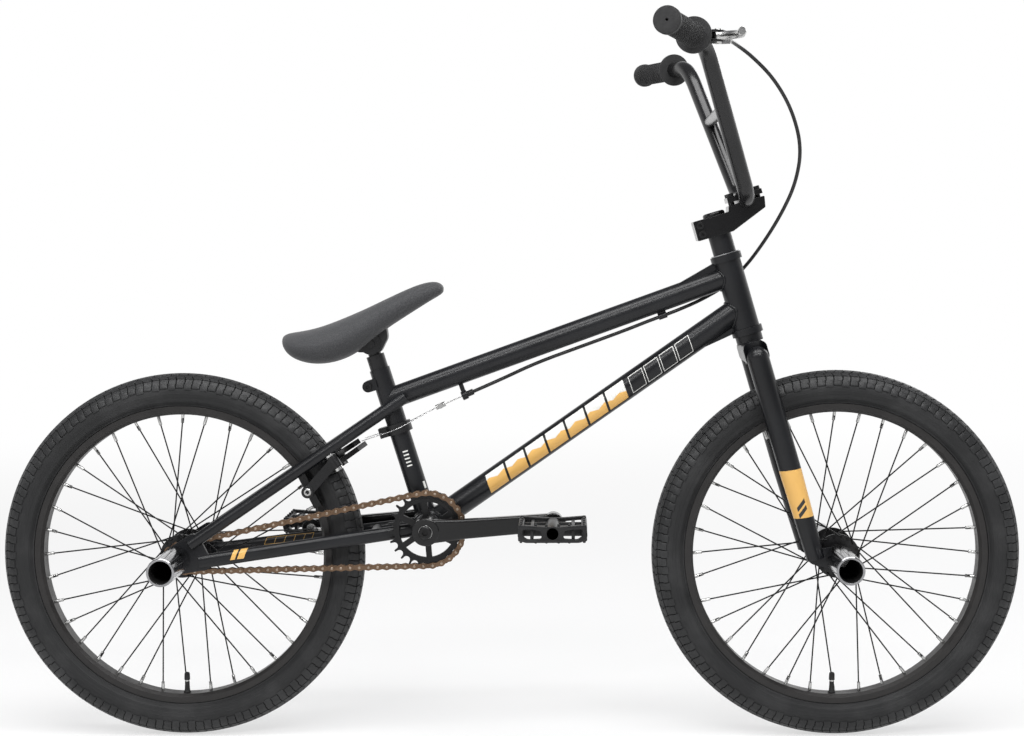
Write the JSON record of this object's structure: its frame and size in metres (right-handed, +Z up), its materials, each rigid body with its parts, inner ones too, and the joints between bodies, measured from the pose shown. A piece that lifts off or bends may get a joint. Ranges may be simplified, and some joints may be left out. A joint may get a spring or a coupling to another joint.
{
  "type": "bmx bike",
  "caption": "Freestyle BMX bike with high-rise handlebars, small spoked wheels, axle pegs, one-speed chain drive, low slanted saddle and a cable-pulled rear brake.",
  "frame": {"origin": "on the ground, midway between the two wheel axles, in the plane of the wheels", "axes": "+X forward, +Y to the rider's left, +Z up; the drive side faces -Y"},
  "size_m": [1.421, 0.744, 0.9703],
  "materials": {
    "frame_paint": "satin black powder coat",
    "gloss_paint": "gloss black paint",
    "black_alloy": "black anodised",
    "black_steel": "black oxide",
    "silver_steel": "bright zinc plate",
    "bearing_steel": "ground",
    "peg_steel": "polished plate",
    "chain_steel": "bronze tinted plate",
    "black_plastic": "moulded",
    "cable_plastic": "smooth jacket",
    "grip_rubber": "ribbed rubber",
    "tyre_rubber": "matt rubber",
    "saddle_cover": "fine grained cover over foam"
  },
  "bodies": {
    "frame": {"head_tube": "frame_paint", "top_tube": "frame_paint", "down_tube": "frame_paint", "seat_tube": "frame_paint", "bb_shell": "frame_paint", "bb_bearings": "bearing_steel", "chain_stays": "frame_paint", "seat_stays": "frame_paint", "rear_dropouts": "frame_paint", "frame_brackets": "frame_paint", "headset_cups": "black_alloy", "seat_clamp_bolt": "black_steel", "rear_axle": "silver_steel", "rear_pegs": "peg_steel", "chain": "chain_steel", "brake_pivots": "silver_steel", "brake_housing": "cable_plastic", "barrel_adjuster": "black_plastic", "straddle_guide": "black_plastic"},
    "steering": {"fork_steerer": "frame_paint", "fork_legs": "frame_paint", "fork_dropouts": "frame_paint", "headset_bearings": "bearing_steel", "headset_spacer": "black_alloy", "top_cap": "black_alloy", "stem_body": "gloss_paint", "stem_clamp_cap": "gloss_paint", "stem_bolts": "black_steel", "handlebar": "gloss_paint", "grips": "grip_rubber", "lever_bracket": "black_alloy", "front_axle": "silver_steel", "front_pegs": "peg_steel"},
    "front_wheel": {"front_tyre": "tyre_rubber", "front_rim": "black_alloy", "front_spokes": "black_steel", "front_hub_shell": "black_alloy", "front_hub_bearings": "bearing_steel"},
    "rear_wheel": {"rear_tyre": "tyre_rubber", "rear_rim": "black_alloy", "rear_spokes": "black_steel", "rear_hub_shell": "black_alloy", "rear_hub_bearings": "bearing_steel"},
    "driver": {"driver": "black_steel"},
    "crank": {"crank_spindle": "silver_steel", "crank_arm_right": "gloss_paint", "crank_arm_left": "gloss_paint", "sprocket": "black_steel", "crank_bolts": "black_steel", "pedal_axles": "silver_steel"},
    "pedal_right": {"pedal_right": "black_plastic"},
    "pedal_left": {"pedal_left": "black_plastic"},
    "brake_lever": {"brake_lever": "silver_steel"},
    "brake_arm_right": {"brake_arm_right": "black_alloy"},
    "brake_arm_left": {"brake_arm_left": "black_alloy"},
    "cable_hanger": {"cable_hanger": "silver_steel", "straddle_wire": "silver_steel"},
    "seat_post": {"seat_post": "black_alloy"},
    "saddle": {"saddle": "saddle_cover", "saddle_clamp": "black_steel"}
  },
  "joints": [
    {"name": "steering_turn", "type": "hinge", "parent": "frame", "child": "steering", "pos_m": [0.42532, 0, 0.24635], "axis": [-0.2756, 0, 0.9613], "range_deg": [-80, 80], "deforming": ["brake_housing"]},
    {"name": "front_wheel_spin", "type": "hinge", "parent": "steering", "child": "front_wheel", "pos_m": [0.4555, 0, 0.255], "axis": [0, 1, 0], "continuous": true},
    {"name": "rear_wheel_spin", "type": "hinge", "parent": "frame", "child": "rear_wheel", "pos_m": [-0.4555, 0, 0.255], "axis": [0, 1, 0], "continuous": true},
    {"name": "crank_spin", "type": "hinge", "parent": "frame", "child": "crank", "pos_m": [-0.11006, 0, 0.295], "axis": [0, 1, 0], "continuous": true, "deforming": ["chain"]},
    {"name": "driver_spin", "type": "hinge", "parent": "frame", "child": "driver", "pos_m": [-0.4555, 0, 0.255], "axis": [0, 1, 0], "continuous": true},
    {"name": "right_pedal_spin", "type": "hinge", "parent": "crank", "child": "pedal_right", "pos_m": [0.06444, 0, 0.30812], "axis": [0, 1, 0], "continuous": true},
    {"name": "left_pedal_spin", "type": "hinge", "parent": "crank", "child": "pedal_left", "pos_m": [-0.28457, 0, 0.28188], "axis": [0, 1, 0], "continuous": true},
    {"name": "brake_lever_pull", "type": "hinge", "parent": "steering", "child": "brake_lever", "pos_m": [0.27692, -0.22568, 0.94633], "axis": [-0.0083, -0.0271, -0.9996], "range_deg": [0, 20], "stiffness_Nm_per_rad": 1.5, "springref_deg": -8.59},
    {"name": "hanger_pull", "type": "slide", "parent": "frame", "child": "cable_hanger", "axis": [0.9193, 0, 0.3935], "range_m": [0, 0.0041], "deforming": ["straddle_wire"]},
    {"name": "right_brake_arm_close", "type": "hinge", "parent": "frame", "child": "brake_arm_right", "pos_m": [-0.24374, -0.0369, 0.39528], "axis": [0.5603, 0, -0.8283], "range_deg": [0, 1.7]},
    {"name": "left_brake_arm_close", "type": "hinge", "parent": "frame", "child": "brake_arm_left", "pos_m": [-0.24374, 0.0369, 0.39528], "axis": [-0.5603, 0, 0.8283], "range_deg": [0, 1.7]},
    {"name": "seat_height", "type": "slide", "parent": "frame", "child": "seat_post", "axis": [-0.2957, 0, 0.9553], "range_m": [-0.01, 0.08]},
    {"name": "saddle_tilt", "type": "hinge", "parent": "seat_post", "child": "saddle", "pos_m": [-0.18902, 0, 0.55006], "axis": [0, 1, 0], "range_deg": [-10, 10]}
  ],
  "couplings": [
    {"joint": "driver_spin", "follows": "crank_spin", "ratio": 2.7778},
    {"joint": "hanger_pull", "follows": "brake_lever_pull", "m_per_rad": 0.011459},
    {"joint": "right_brake_arm_close", "follows": "brake_lever_pull", "ratio": 0.075},
    {"joint": "left_brake_arm_close", "follows": "brake_lever_pull", "ratio": 0.075}
  ]
}
